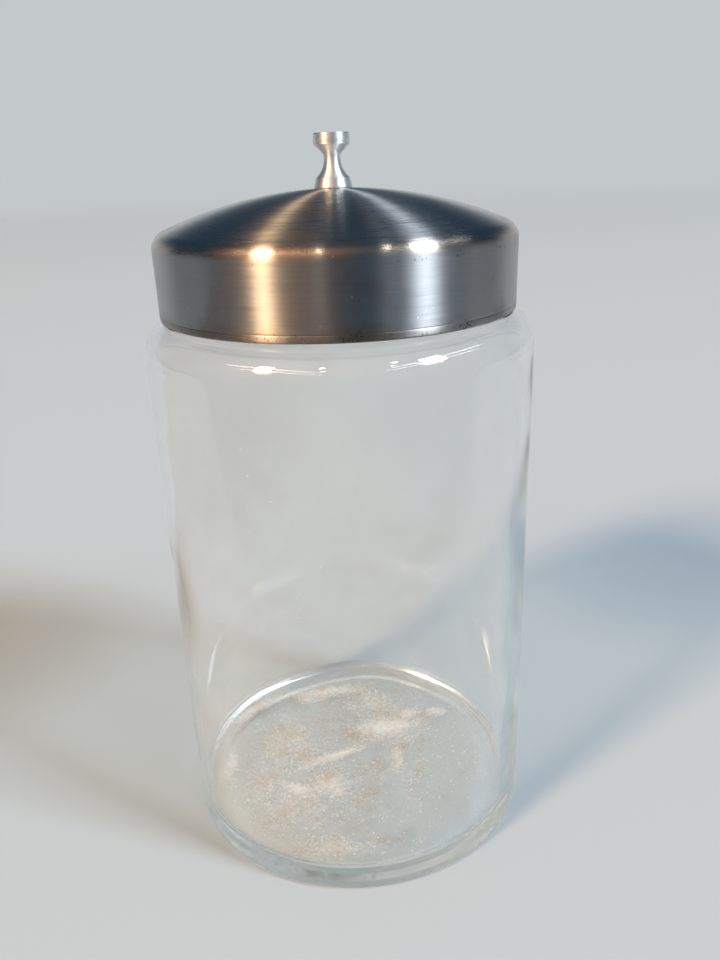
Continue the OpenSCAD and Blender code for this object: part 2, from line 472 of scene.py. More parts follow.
@dataclass(frozen=True)
class BrushedStainless:
    """Stainless sheet, spun against grit so that fine lines run round the lid.

    The lines stretch each highlight across themselves, into upright bands on the skirt and rays on
    the dome. Handling has dulled and browned it a little near the hem, where dirt sits in the
    crease, and has left a few pale scuffs.
    """

    hem: float
    corner: float
    colour: str = "#A9A8A8"
    worn_colour: str = "#93826F"
    # A painted highlight: a brighter, warmer line along the corner that stands in for the room's reflection
    # there
    painted_corner_highlight: str = "#B09E8E"
    dirt_colour: str = "#3B2A1D"
    scuff_colour: str = "#D6D8DA"
    roughness: float = 0.38
    dome_roughness: float = 0.28
    anisotropy: float = 1.0
    # The lines are drawn coarser than the grit's, about 0.1 mm, which are too fine to show
    line_mm: float = 0.45
    dash_mm: float = 7.0
    long_mm: float = 40.0
    stain_mm: float = 50 / 3
    dot_mm: float = 0.6
    dotted_mm: float = 11.0
    scuff_mm: float = 1.3
    browned_up: float = 6 * MM

    def grain(self, tree: Tree, flat: Node) -> Node:
        """Builds the grain: noise stretched round the lid, in long lines and in dashes.

        Args:
            tree: the material's node tree.
            flat: splits the place into x, y and z.

        Returns:
            The grain, a number about 0.5.
        """
        along = add(tree, "SeparateXYZ", None, {0: add(tree, "UVMap", {"uv_map": "along"})})
        patterns = []
        for width_mm, length_mm, detail in (
                (self.line_mm, self.long_mm, 3.0), (self.line_mm * 0.7, self.dash_mm, 2.0)):
            scaled = [
                add(tree, "Math", {"operation": "MULTIPLY", 1: 1 / (size * MM)}, {0: source})
                for source, size in ((flat, length_mm), (flat.outputs[1], length_mm),
                                     (along.outputs[1], width_mm))]
            spot = add(tree, "CombineXYZ", None, dict(enumerate(scaled)))
            patterns.append(add(tree, "TexNoise", {"Scale": 1.0, "Detail": detail, "Roughness": 0.6},
                                {"Vector": spot}))
        return add(tree, "Mix", {"data_type": "FLOAT", 0: 0.5}, {2: patterns[0], 3: patterns[1]})

    def dirt(self, tree: Tree, place: Socket, flat: Node, under: Node) -> Node:
        """Builds the dirt: small dots along the crease, thinning out above it, and a few under the
        corner. Both are thicker on the right.

        Args:
            tree: the material's node tree.
            place: the place on the lid.
            flat: splits it into x, y and z.
            under: how near it is to the underside of the corner, 0.1 there and -0.1 away from it.

        Returns:
            How much the dirt covers, from 0 to 0.7.
        """
        dots = add(tree, "TexNoise", {"Scale": 1 / (self.dot_mm * MM), "Detail": 2.0, "Roughness": 0.5},
                   {"Vector": place})
        low = add(tree, "MapRange", {
            "From Min": self.hem + 1.4 * MM, "From Max": self.hem + 3.6 * MM, "To Min": 0.14,
            "To Max": -0.1}, {0: flat.outputs[2]})
        close = add(tree, "Math", LARGER, {0: low, 1: under})
        here = add(tree, "TexNoise", {"Scale": 1 / (self.dotted_mm * MM), "Detail": 2.0},
                   {"Vector": place})
        often = add(tree, "MapRange", {"From Min": 0.42, "From Max": 0.62, "To Min": -0.1, "To Max": 0.03},
                    {0: here})
        side = add(tree, "MapRange", {
            "From Min": -20 * MM, "From Max": 25 * MM, "To Min": -0.05, "To Max": 0.03}, {0: flat})
        partly = add(tree, "Math", SUM, {0: often, 1: side})
        reached = add(tree, "Math", SUM, {0: partly, 1: close})
        dotted = add(tree, "Math", SUM, {0: dots, 1: reached})
        return add(tree, "MapRange", {"From Min": 0.68, "From Max": 0.78, "To Max": 0.7}, {0: dotted})

    def material(self) -> Material:
        """Builds it, with lines that follow the outline's length and wrap round the axis.

        Returns:
            The material.
        """
        material, tree = blank_material("brushed_stainless_steel")
        place = add(tree, "TexCoord").outputs["Object"]
        flat = add(tree, "SeparateXYZ", None, {0: place})
        grain = self.grain(tree, flat)

        # The browned hem: strongest at its edge, gone a little above it, and broken by noise
        cloud = add(tree, "TexNoise", {
            "Scale": 1 / (self.stain_mm * MM), "Detail": 5.0, "Roughness": 0.65}, {"Vector": place})
        up = add(tree, "MapRange", {
            "From Min": self.hem, "From Max": self.hem + self.browned_up, "To Min": 0.24, "To Max": 0.0},
            {0: flat.outputs[2]})
        stained = add(tree, "Math", SUM, {0: cloud, 1: up})
        worn = add(tree, "MapRange", {"From Min": 0.54, "From Max": 0.8, "To Max": 0.75}, {0: stained})

        # How near each point is to two heights: the corner's polished band, which also carries a painted
        # warm highlight, and the dirt under it
        nearness = []
        for level, fade in (
                (self.corner + 2.0 * MM, {**SMOOTH, "From Max": 2.6 * MM, "To Min": 0.75, "To Max": 0.0}),
                (self.corner - 0.6 * MM, {"From Max": 1.8 * MM, "To Min": 0.1, "To Max": -0.1})):
            off = add(tree, "Math", {"operation": "SUBTRACT", 1: level}, {0: flat.outputs[2]})
            away = add(tree, "Math", UNSIGNED, {0: off})
            nearness.append(add(tree, "MapRange", {"From Min": 0.0, **fade}, {0: away}))
        edge, under = nearness

        # The steel, browned near the hem, a painted warm highlight line along the corner, and dirt
        metal = add(tree, "Mix", {"data_type": "RGBA", 6: linear(self.colour), 7: linear(self.worn_colour)},
                    {0: worn})
        for share, layer in ((edge, self.painted_corner_highlight),
                             (self.dirt(tree, place, flat, under), self.dirt_colour)):
            metal = add(tree, "Mix", {"data_type": "RGBA", 7: linear(layer)},
                        {0: share, 6: metal.outputs[2]})

        # Pale scuffs, where something rubbed across the lines
        rubs = add(tree, "TexNoise", {
            "Scale": 1 / (self.scuff_mm * MM), "Detail": 1.0, "Roughness": 0.4}, {"Vector": place})
        scuff = add(tree, "MapRange", {"From Min": 0.765, "From Max": 0.83, "To Max": 0.8}, {0: rubs})

        # The grain's darker and lighter lines, and the scuffs over them
        tone = add(tree, "MapRange", {**NOISE_SPAN, "To Min": 0.9, "To Max": 1.08}, {0: grain})
        shaded = add(tree, "VectorMath", {"operation": "SCALE"}, {0: metal.outputs[2], "Scale": tone})
        bright = add(tree, "Mix", {"data_type": "RGBA", 7: linear(self.scuff_colour)},
                     {0: scuff, 6: shaded})

        # The dome is finer than the skirt, and hands have polished the corner between them
        rough = add(tree, "MapRange", {**NOISE_SPAN, "To Min": -0.05, "To Max": 0.06}, {0: grain})
        skirt = add(tree, "MapRange", {
            "From Min": self.corner + 1 * MM, "From Max": self.corner + 3.2 * MM,
            "To Min": self.roughness, "To Max": self.dome_roughness}, {0: flat.outputs[2]})
        uneven = add(tree, "Math", SUM, {0: rough, 1: skirt})
        polished = add(tree, "Math", {"operation": "MULTIPLY_ADD", 1: -0.13}, {0: edge, 2: uneven})
        dull = add(tree, "Math", {"operation": "MULTIPLY_ADD", 1: 0.12}, {0: worn, 2: polished})
        relief = add(tree, "Bump", {"Strength": 0.25, "Distance": 0.02 * MM}, {"Height": grain})
        round_axis = add(tree, "Tangent", {"direction_type": "RADIAL", "axis": "Z"})
        shader = add(tree, "BsdfPrincipled", {
            "Metallic": 1.0, "Anisotropic": self.anisotropy, "Anisotropic Rotation": 0.25}, {
            "Base Color": bright.outputs[2], "Roughness": dull, "Normal": relief,
            "Tangent": round_axis})
        add(tree, "OutputMaterial", None, {"Surface": shader})
        return material


@dataclass(frozen=True)
class TurnedAluminium:
    """Aluminium bar, turned bright on a lathe: fine rings from the tool, and a high shine."""

    colour: str = "#EDEDEE"
    roughness: float = 0.48
    anisotropy: float = 0.76
    # Coarser than the tool's real marks, about 0.1 mm, which are too fine to show
    ring_mm: float = 0.3

    def material(self) -> Material:
        """Builds it, with rings that follow the knob's outline.

        Returns:
            The material.
        """
        material, tree = blank_material("bright_turned_aluminium")
        along = add(tree, "SeparateXYZ", None, {0: add(tree, "UVMap", {"uv_map": "along"})})
        scaled = add(tree, "Math", {"operation": "MULTIPLY", 1: 1 / (self.ring_mm * MM)},
                     {0: along.outputs[1]})
        rings = add(tree, "TexNoise", {"noise_dimensions": "1D", "Scale": 1.0, "Detail": 2.0},
                    {"W": scaled})
        rough = add(tree, "MapRange", {
            **NOISE_SPAN, "To Min": self.roughness - 0.05, "To Max": self.roughness + 0.07}, {0: rings})
        relief = add(tree, "Bump", {"Strength": 0.2, "Distance": 0.02 * MM}, {"Height": rings})
        round_axis = add(tree, "Tangent", {"direction_type": "RADIAL", "axis": "Z"})
        shader = add(tree, "BsdfPrincipled", {
            "Base Color": linear(self.colour), "Metallic": 1.0, "Anisotropic": self.anisotropy,
            "Anisotropic Rotation": 0.25}, {
            "Roughness": rough, "Normal": relief, "Tangent": round_axis})
        add(tree, "OutputMaterial", None, {"Surface": shader})
        return material


@dataclass(frozen=True)
class FastenerSteel:
    """Plated steel of a small screw or washer: grey, softly shining, clouded by handling."""

    name: str
    colour: str
    roughness: float
    cloud_mm: float = 1.1

    def material(self) -> Material:
        """Builds it, with clouds in its tone and its shine.

        Returns:
            The material.
        """
        material, tree = blank_material(self.name)
        place = add(tree, "TexCoord").outputs["Object"]
        cloud = add(tree, "TexNoise", {"Scale": 1 / (self.cloud_mm * MM), "Detail": 4.0}, {"Vector": place})
        rough = add(tree, "MapRange", {
            **NOISE_SPAN, "To Min": self.roughness - 0.08, "To Max": self.roughness + 0.12}, {0: cloud})
        tone = add(tree, "MapRange", {**NOISE_SPAN, "To Min": 0.85, "To Max": 1.08}, {0: cloud})
        colour = add(tree, "VectorMath", {"operation": "SCALE", 0: linear(self.colour)[:3]},
                     {"Scale": tone})
        shader = add(tree, "BsdfPrincipled", {"Metallic": 1.0}, {
            "Base Color": colour, "Roughness": rough})
        add(tree, "OutputMaterial", None, {"Surface": shader})
        return material


# The jar

@dataclass(frozen=True)
class Patch:
    """One dried patch on the jar's floor: an oval that fades out, in millimetres and degrees."""

    x: float
    y: float
    length: float
    width: float
    turn: float
    strength: float


# The patches lie thickest where the last water stood, to the back and the left
PATCHES = (
    Patch(-38, 27, 21, 4, 44, 1.0), Patch(-11, 36, 30, 7, 3, 0.85), Patch(-18, 31, 9, 5, 0, 0.6),
    Patch(12, 14, 21, 10, 8, 1.0), Patch(19, 21, 7, 5, 0, 0.85), Patch(31, 20, 9, 5, -20, 0.8),
    Patch(-8, -1, 18, 3.5, 21, 0.95), Patch(-26, -20, 50, 34, -45, 0.4), Patch(-20, -15, 8, 4, -30, 1.0),
    Patch(-9, -15, 12, 10, 0, 0.6), Patch(-44, -2, 14, 4, 90, 0.7), Patch(8, 28, 22, 12, 0, 0.4),
    Patch(14, -4, 14, 4, 90, 0.45), Patch(-8, -41, 26, 7, 0, 0.5), Patch(-24, 8, 22, 22, 0, 0.35),
    Patch(4, 2, 130, 130, 0, 0.45),
)


def floor_cover(points: np.ndarray) -> np.ndarray:
    """How thick the dried film lies on the jar's floor: each patch fades as a bell curve of the
    distance from its middle, and the patches join like sheets of tracing paper.

    Args:
        points: x and y in the first two columns.

    Returns:
        A share from 0 to 1 at each point.
    """
    bare = np.ones(len(points))
    for patch in PATCHES:
        turn = math.radians(patch.turn)
        right, back = points[:, 0] / MM - patch.x, points[:, 1] / MM - patch.y
        along = (right * math.cos(turn) + back * math.sin(turn)) / (patch.length / 2)
        across = (back * math.cos(turn) - right * math.sin(turn)) / (patch.width / 2)
        bare = bare * (1 - patch.strength * np.exp(-(along ** 2 + across ** 2)))
    return 1 - bare


@dataclass
class Jar:
    """The glass jar: straight wall, rounded shoulder, plain neck and a thick floor."""

    wall: float = 3.4 * MM
    floor: float = 5.2 * MM
    floor_corner: float = 3.5 * MM
    heel: float = 1.8 * MM
    foot: float = 4.6 * MM
    push_up: float = 1.3 * MM
    shoulder: float = 10 * MM
    neck_step: float = 7.1 * MM
    neck_height: float = 20.4 * MM
    neck_wall: float = 3.5 * MM
    neck_root: float = 1.6 * MM
    mouth_edge: float = 9 * MM
    ripple_inside: float = 0.10 * MM
    ripple_outside: float = 0.02 * MM
    ripple_fade: float = 12 * MM
    core_shift: float = 0.7 * MM
    core_shifted_to: float = 55 * MM
    core_centred_from: float = 130 * MM
    floor_ripple: float = 0.08 * MM
    film_gap: float = 0.03 * MM
    film_thick: float = 0.04 * MM
    crumb_count: int = 8000
    crumb_sizes: tuple[float, float] = (0.07 * MM, 0.33 * MM)
    speck_count: int = 650
    speck_sizes: tuple[float, float] = (0.06 * MM, 0.28 * MM)
    radius: float = field(init=False)
    height: float = field(init=False)

    def __post_init__(self) -> None:
        """Takes the radius and the height from the frame."""
        low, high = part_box("jar")
        self.radius = float(high.x - low.x) / 2
        self.height = float(high.z)

    def outline(self) -> tuple[np.ndarray, int]:
        """The glass in section: from the axis under the floor, out round the heel, up the wall,
        over the rim and down the inside to the axis. Each arc touches the one beside it.

        Returns:
            The outline, and the row at which its inside begins.
        """
        neck = self.radius - self.neck_step
        mouth = neck - self.neck_wall
        rim_radius = self.neck_wall / 2
        rim = (mouth + rim_radius, self.height - rim_radius)
        root = (neck + self.neck_root, self.height - self.neck_height)
        middle = self.radius - self.shoulder
        level = root[1] - tangent_rise(self.shoulder + self.neck_root, root[0] - middle)
        root_turn = math.degrees(math.atan2(root[1] - level, root[0] - middle))
        inner_shoulder = self.shoulder - self.wall
        edge_across = mouth + self.mouth_edge - middle
        edge_rise = tangent_rise(inner_shoulder + self.mouth_edge, edge_across)
        edge_turn = math.degrees(math.atan2(edge_rise, edge_across))
        foot_out = self.radius - self.heel
        foot_in = foot_out - self.foot
        corner = (self.radius - self.wall - self.floor_corner, self.floor + self.floor_corner)
        outside = np.vstack([
            [(0, self.push_up), (foot_in - 2 * self.push_up, self.push_up), (foot_in, 0)],
            arc((foot_out, self.heel), self.heel, -90, 0, 16),
            arc((middle, level), self.shoulder, 0, root_turn, 28),
            arc(root, self.neck_root, root_turn + 180, 180, 10),
        ])
        inside = np.vstack([
            arc(rim, rim_radius, 0, 180, 20),
            arc((middle + edge_across, level + edge_rise), self.mouth_edge, 180, edge_turn + 180, 12),
            arc((middle, level), inner_shoulder, edge_turn, 0, 24),
            arc(corner, self.floor_corner, 0, -90, 20),
            [(0, self.floor)],
        ])
        outside, inside = fill_in(outside, 4 * MM), fill_in(inside, 4 * MM)
        return np.vstack([outside, inside]), len(outside)

    def unevenness(self, turn: np.ndarray, height: np.ndarray,
                   inside: np.ndarray | bool) -> np.ndarray:
        """How the moulded walls stray from round. The core stood a little to the left low down, so
        that the wall is thicker on the right. Both faces wave a little, the inner one more, and the
        outer one stays within the outline.

        Args:
            turn: each point's angle round the axis.
            height: its height, or its outline row's.
            inside: whether it is on the inside.

        Returns:
            Its offset from the axis.
        """
        low, high = self.floor + self.floor_corner, self.height - self.neck_height - self.shoulder
        rise = np.clip((height - low) / self.ripple_fade, 0, 1)
        rise *= np.clip((high - height) / self.ripple_fade + 0.5, 0, 1)
        wave = np.where(inside, self.ripple_inside, self.ripple_outside) * rise * rise * (3 - 2 * rise)
        straightening = self.core_centred_from - self.core_shifted_to
        fade = np.clip((self.core_centred_from - height) / straightening, 0, 1)
        shift = np.where(inside, self.core_shift * fade * fade * (3 - 2 * fade), 0.0)
        outer = ripple(turn, height, 1.0, 4) - RIPPLE_TOP
        inner = ripple(turn, height, 1.0, 11)
        return wave * np.where(inside, inner, outer) - shift * np.cos(turn)

    def floor_waves(self, turn: np.ndarray, radius: np.ndarray, height: np.ndarray,
                    inside: np.ndarray | bool) -> np.ndarray:
        """How the inner floor waves: a sum of six waves in six directions, 13 to 38 mm long. It is
        flat again at its corner.

        Args:
            turn: each point's angle round the axis.
            radius: its distance from the axis.
            height: its height.
            inside: whether it is on the inside.

        Returns:
            How much higher it lies.
        """
        edge = self.radius - self.wall - self.floor_corner
        share = np.clip((edge - radius) / (8 * MM), 0, 1)
        on_floor = inside & (height < self.floor + self.film_gap * 4)
        x, y = radius * np.cos(turn), radius * np.sin(turn)
        total = np.zeros_like(x)
        phases = np.random.default_rng(21).uniform(0, 2 * np.pi, 6)
        for i, (phase, wavelength_mm) in enumerate(zip(phases, (38, 29, 23, 19, 16, 13))):
            heading = 0.4 + i * 1.1
            along = x * math.cos(heading) + y * math.sin(heading)
            total += np.cos(along * 2 * np.pi / (wavelength_mm * MM) + phase)
        return np.where(on_floor, self.floor_ripple * share, 0.0) * total / 3

    def film(self, name: str, rows: np.ndarray, longest: float, cover: Cover) -> Piece:
        """Lays a thin closed film just clear of the inner surface.

        Args:
            name: the piece's name.
            rows: the part of the inner outline that it lies on, from top to bottom.
            longest: the longest run along the outline.
            cover: gives the film's point attribute "cover".

        Returns:
            The linked object.
        """
        rows = fill_in(rows, longest)
        heading = np.gradient(rows, axis=0)
        heading /= np.linalg.norm(heading, axis=1, keepdims=True)
        out = np.column_stack([heading[:, 1], -heading[:, 0]])
        near, far = rows + out * self.film_gap, rows + out * (self.film_gap + self.film_thick)
        if rows[-1, 0] < 1e-9:
            near[-1, 0] = far[-1, 0] = 0.0
        section = np.vstack([far, near[::-1]])
        wall_height = np.concatenate([rows, rows[::-1]])[:, 1:]
        turn, radius, height = rings(section)
        item = lathe(name, section, self.unevenness(turn, wall_height, True),
                     self.floor_waves(turn, radius, height, True), closed=True)
        points = np.empty(len(item.data.vertices) * 3)
        item.data.vertices.foreach_get("co", points)
        points = points.reshape(-1, 3)
        share = item.data.attributes.new("cover", "FLOAT", "POINT")
        share.data.foreach_set("value", cover(points).astype(np.float32))
        return item

    def wall_cover(self, points: np.ndarray) -> np.ndarray:
        """How thick the dried film lies on the wall: thicker to the left, and lower down.

        Args:
            points: x, y and z in three columns.

        Returns:
            A share from 0 to 1 at each point.
        """
        left = np.clip(-points[:, 0] / self.radius, 0, 1)
        low = np.clip(1 - points[:, 2] / self.height, 0, 1)
        return 0.11 + 0.12 * left + 0.05 * low

    def films(self, inner: np.ndarray) -> list[Piece]:
        """Dries the last water's film on the floor and on the wall.

        Args:
            inner: the inner outline, from the rim down to the axis.

        Returns:
            The two films.
        """
        height = inner[:, 1]
        wall_low, wall_high = self.floor + self.floor_corner, self.height - self.neck_height - 2 * MM
        floor_rows = inner[height < self.floor + 0.75 * self.floor_corner]
        wall_rows = inner[(height > wall_low) & (height < wall_high)]
        films = [self.film("floor_film", floor_rows, 1.3 * MM, floor_cover),
                 self.film("wall_film", wall_rows, 4 * MM, self.wall_cover)]
        dried = WaterMarks().material()
        for film in films:
            film.data.materials.append(dried)
        return films

    def crumbs(self, random: np.random.Generator) -> Piece:
        """Scatters crumbs on the floor, where the film is thick and in spots a few millimetres
        across. A place is kept when a random share is below the film's share there.

        Args:
            random: draws the places and the sizes.

        Returns:
            The crumbs.
        """
        reach = self.radius - self.wall - self.floor_corner * 0.8
        spots = random.uniform(-reach, reach, (self.crumb_count * 14, 2))
        thick = floor_cover(spots)
        patchy = np.cos(spots[:, 0] * 900 + 4 * np.sin(spots[:, 1] * 510)) * np.cos(spots[:, 1] * 1040)
        keep = (np.hypot(spots[:, 0], spots[:, 1]) < reach) & (
            random.uniform(0, 1, len(spots)) < thick ** 2.2 * (0.55 + 0.45 * patchy))
        spots = spots[keep][:self.crumb_count]
        lying = self.floor + self.film_gap + self.film_thick + self.floor_ripple * 0.4
        places = np.column_stack([spots, np.full(len(spots), lying)])
        up = np.tile([0.0, 0.0, 1.0], (len(spots), 1))
        sizes = mostly_small(random, self.crumb_sizes, len(spots))
        return flakes("floor_crumbs", places, up, sizes, 8)

    def specks(self, random: np.random.Generator) -> Piece:
        """Scatters specks on the wall, more of them in front on the left.

        Args:
            random: draws the places and the sizes.

        Returns:
            The specks.
        """
        count = self.speck_count
        turn = np.where(random.uniform(0, 1, count) < 0.6, random.normal(math.radians(215), 0.55, count),
                        random.uniform(0, 2 * np.pi, count))
        low = self.floor + self.floor_corner + 3 * MM
        rise = random.uniform(low, self.height - self.neck_height - self.shoulder - 4 * MM, count)
        away = self.radius - self.wall - self.film_gap - self.film_thick
        away += self.unevenness(turn, rise, True)
        inward = np.column_stack([-np.cos(turn), -np.sin(turn), np.zeros_like(turn)])
        places = np.column_stack([away * np.cos(turn), away * np.sin(turn), rise])
        sizes = mostly_small(random, self.speck_sizes, count)
        return flakes("wall_specks", places, inward, sizes, 9, 0.5)

    def residue(self, inner: np.ndarray) -> list[Piece]:
        """Leaves what the last use left: films, crumbs and specks.

        Args:
            inner: the inner outline, from the rim down to the axis.

        Returns:
            The pieces.
        """
        films = self.films(inner)
        random = np.random.default_rng(5)
        scattered = [self.crumbs(random), self.specks(random)]
        loose = Crumbs().material()
        for piece in scattered:
            piece.data.materials.append(loose)
        return films + scattered

    def build(self) -> list[Piece]:
        """Makes and dresses the jar.

        Returns:
            Its pieces.
        """
        outline, inside_from = self.outline()
        inside = np.arange(len(outline))[:, None] >= inside_from
        turn, radius, height = rings(outline)
        glass = lathe("glass_jar", outline, self.unevenness(turn, height, inside),
                      self.floor_waves(turn, radius, height, inside))
        glass.data.materials.append(ClearGlass().material())
        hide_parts("jar")
        pieces = [glass] + self.residue(outline[inside_from:])
        for piece in pieces:
            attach(piece, "jar")
        return pieces


# The lid and its knob

@dataclass
class Lid:
    """The drawn steel lid: a domed top, a straight skirt and a hem folded up inside it."""

    sheet: float = 0.7 * MM
    dome: float = 120 * MM
    corner: float = 4.6 * MM
    hem_height: float = 3.2 * MM
    crease_up: float = 2.0 * MM
    crease_deep: float = 0.12 * MM
    crease_width: float = 0.5 * MM
    seat: float = 5.6 * MM
    hole: float = 1.6 * MM
    wave: float = 0.022 * MM
    edge_rough: float = 0.018 * MM
    knock_deep: float = 0.12 * MM
    radius: float = field(init=False)
    bottom: float = field(init=False)
    top: float = field(init=False)

    def __post_init__(self) -> None:
        """Takes the skirt's radius and the lid's two heights from the frame."""
        low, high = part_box("lid_shell")
        self.radius = float(high.x - low.x) / 2
        self.bottom = float(low.z)
        self.top = float(high.z)

    def corner_height(self) -> float:
        """The height of the corner arc's middle, where the straight skirt ends."""
        dome_low = self.top - tangent_rise(self.dome, self.seat)
        return dome_low + tangent_rise(self.dome - self.corner, self.radius - self.corner)

    def outline(self) -> np.ndarray:
        """The sheet in section, all round: over the top from the knob's hole, down the skirt, round
        the hem, and back up the inside. The dome is part of a sphere that touches the corner's arc.

        Returns:
            The outline, closed by joining its ends.
        """
        dome_low = self.top - tangent_rise(self.dome, self.seat)
        middle = self.radius - self.corner
        level = self.corner_height()
        turn = math.degrees(math.atan2(level - dome_low, middle))
        seat_turn = math.degrees(math.acos(self.seat / self.dome))
        inner = self.dome - self.sheet
        inner_seat_turn = math.degrees(math.asin((self.top - self.sheet - dome_low) / inner))
        crease = self.bottom + self.crease_up
        hem = (self.radius - self.sheet, self.bottom + self.sheet)
        leaf_top = self.bottom + self.hem_height
        crease_at = np.linspace(-1, 1, 9)
        groove = np.column_stack([self.radius - self.crease_deep * np.cos(crease_at * np.pi / 2) ** 2,
                                  crease - crease_at * self.crease_width / 2])
        section = np.vstack([
            [(self.hole, self.top)],
            arc((0, dome_low), self.dome, seat_turn, turn, 40),
            arc((middle, level), self.corner, turn, 0, 24),
            groove,
            arc(hem, self.sheet, 0, -180, 16),
            [(hem[0] - self.sheet, leaf_top - self.sheet / 2)],
            arc((hem[0] - self.sheet / 2, leaf_top - self.sheet / 2), self.sheet / 2, 180, 0, 8),
            arc((middle, level), self.corner - self.sheet, 0, turn, 16),
            arc((0, dome_low), inner, turn, inner_seat_turn, 30),
            [(self.hole, self.top - self.sheet)],
        ])
        return fill_in(section, 2.5 * MM)[::-1]

    def unevenness(self, turn: np.ndarray, height: np.ndarray) -> np.ndarray:
        """How the skirt strays inwards from round: slow waves all the way up, a rougher edge at the
        hem, and a few small knocks near it.

        Args:
            turn: each point's angle round the axis.
            height: its height.

        Returns:
            Its offset from the axis.
        """
        on_skirt = np.clip((self.top - 14 * MM - height) / (6 * MM), 0, 1)
        at_hem = np.exp(-((height - self.bottom) / (2.2 * MM)) ** 2)
        total = (ripple(turn, height, 1.0, 31) - RIPPLE_TOP) * self.wave * on_skirt
        rough = np.cos(turn * 41 + 1.3 * np.cos(turn * 7)) * np.cos(turn * 23 + 0.4)
        total += (rough - 1) * self.edge_rough * at_hem
        # Each knock: degrees round, millimetres up from the hem, and millimetres wide
        for degrees, up_mm, wide_mm in (
                (-78, 0.6, 1.6), (-49, 1.2, 2.2), (-101, 0.4, 1.8), (64, 1.0, 2.4), (171, 0.8, 2.0)):
            past = turn - math.radians(degrees)
            away = np.arctan2(np.sin(past), np.cos(past))
            far = np.hypot(away * self.radius, height - self.bottom - up_mm * MM)
            total -= self.knock_deep * np.exp(-(far / (wide_mm / 2 * MM)) ** 2)
        return total

    def build(self) -> list[Piece]:
        """Makes and dresses the lid's shell.

        Returns:
            Its pieces.
        """
        section = self.outline()
        turn, _, height = rings(section)
        shell = lathe("lid_sheet", section, self.unevenness(turn, height), closed=True)
        shell.data.materials.append(BrushedStainless(self.bottom, self.corner_height()).material())
        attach(shell, "lid")
        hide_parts("lid_shell")
        return [shell]


@dataclass
class Knob:
    """The turned knob: a flared foot, a thin waist and a flat round head."""

    foot: float = 5.05 * MM
    foot_top: float = 4.5 * MM
    foot_height: float = 2.6 * MM
    waist: float = 2.2 * MM
    waist_up: float = 7.45 * MM
    throat: float = 2.2 * MM
    head: float = 4.8 * MM
    edge: float = 0.45 * MM
    swell: float = 0.11 * MM
    bottom: float = field(init=False)
    top: float = field(init=False)

    def __post_init__(self) -> None:
        """Takes the knob's two heights from the frame."""
        low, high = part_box("knob")
        self.bottom = float(low.z)
        self.top = float(high.z)

    def outline(self) -> np.ndarray:
        """The knob in section, from the axis below to the axis on top. The sweep from the foot to
        the waist is the circle that stands upright at the waist and meets the foot's top.

        Returns:
            The outline.
        """
        drop, reach = self.waist_up - self.foot_height, self.foot_top - self.waist
        sweep = (drop * drop + reach * reach) / (2 * reach)
        sweep_turn = math.degrees(math.asin(drop / sweep))
        waist_z = self.bottom + self.waist_up
        cone_from = self.waist + self.throat * (1 - math.cos(math.pi / 4))
        head_z = waist_z + self.throat * math.sin(math.pi / 4) + self.head - cone_from
        section = np.vstack([
            [(0, self.bottom)],
            arc((self.foot - self.edge, self.bottom + self.edge), self.edge, -90, 0, 8),
            arc((self.waist + sweep, waist_z), sweep, 180 + sweep_turn, 180, 28),
            arc((self.waist + self.throat, waist_z), self.throat, 180, 135, 12),
            arc((self.head - self.edge / 2, head_z), self.edge / 2, -45, -10, 4),
            self.crown(head_z),
            arc((self.head - self.edge, self.top - self.edge), self.edge, 10, 90, 8),
            [(0, self.top)],
        ])
        return fill_in(section, 0.6 * MM)

    def crown(self, low: float) -> np.ndarray:
        """The head's side, which swells a little between its edges.

        Args:
            low: the height at which the side begins.

        Returns:
            Its rows, upwards.
        """
        share = np.linspace(0.08, 0.92, 9)
        out = self.head - self.swell * (2 * share - 1) ** 2
        return np.column_stack([out, low + share * (self.top - self.edge - low)])

    def build(self) -> list[Piece]:
        """Makes and dresses the knob.

        Returns:
            Its pieces.
        """
        body = lathe("knob_turning", self.outline(), segments=128)
        body.data.materials.append(TurnedAluminium().material())
        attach(body, "lid")
        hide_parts("knob")
        return [body]


@dataclass
class Fasteners:
    """The slotted screw and the split washer that hold the knob from inside the lid."""

    screw: FastenerSteel = FastenerSteel("zinc_plated_steel", "#B9B8B2", 0.3)
    washer: FastenerSteel = FastenerSteel("plated_spring_steel", "#85858A", 0.42)

    def build(self) -> list[Piece]:
        """Dresses the frame's own pieces, which already have their full shape.

        Returns:
            The pieces.
        """
        pieces = []
        for node, finish in (("knob_screw", self.screw), ("lock_washer", self.washer)):
            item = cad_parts[node]
            material = finish.material()
            if not item.material_slots:
                item.data.materials.append(None)
            for place in item.material_slots:
                place.link = "OBJECT"
                place.material = material
            pieces.append(item)
        return pieces


# Camera, light and ground

class LampFace(Enum):
    """The outline of a lamp's shining face."""

    OBLONG = "RECTANGLE"
    OVAL = "ELLIPSE"


@dataclass(frozen=True)
class Lamp:
    """A soft lamp that faces the jar, given by how it looks from there, in degrees: its azimuth from
    the front towards +X, its elevation above the floor, and its face's width and height. Its
    radiance is how bright the face is."""

    name: str
    colour: str
    azimuth: float
    elevation: float
    spread: tuple[float, float]
    radiance: float
    face: LampFace = LampFace.OBLONG

    def hang(self, away: float, aim_height: float) -> None:
        """Hangs it. Its power is its radiance times pi times its area.

        Args:
            away: its distance from the jar.
            aim_height: the height on the jar's axis that it faces.
        """
        width, height = (2 * away * math.tan(math.radians(angle / 2)) for angle in self.spread)
        data = bpy.data.lights.new(self.name, "AREA")
        data.shape = self.face.value
        data.size, data.size_y = width, height
        data.color = linear(self.colour)[:3]
        data.energy = self.radiance * math.pi * width * height
        item = put(self.name, data)
        a, e = math.radians(self.azimuth), math.radians(self.elevation)
        out = Vector((math.sin(a) * math.cos(e), -math.cos(a) * math.cos(e), math.sin(e)))
        item.location = out * away + Vector((0, 0, aim_height))
        item.rotation_mode = "QUATERNION"
        item.rotation_quaternion = out.to_track_quat("Z", "Y")


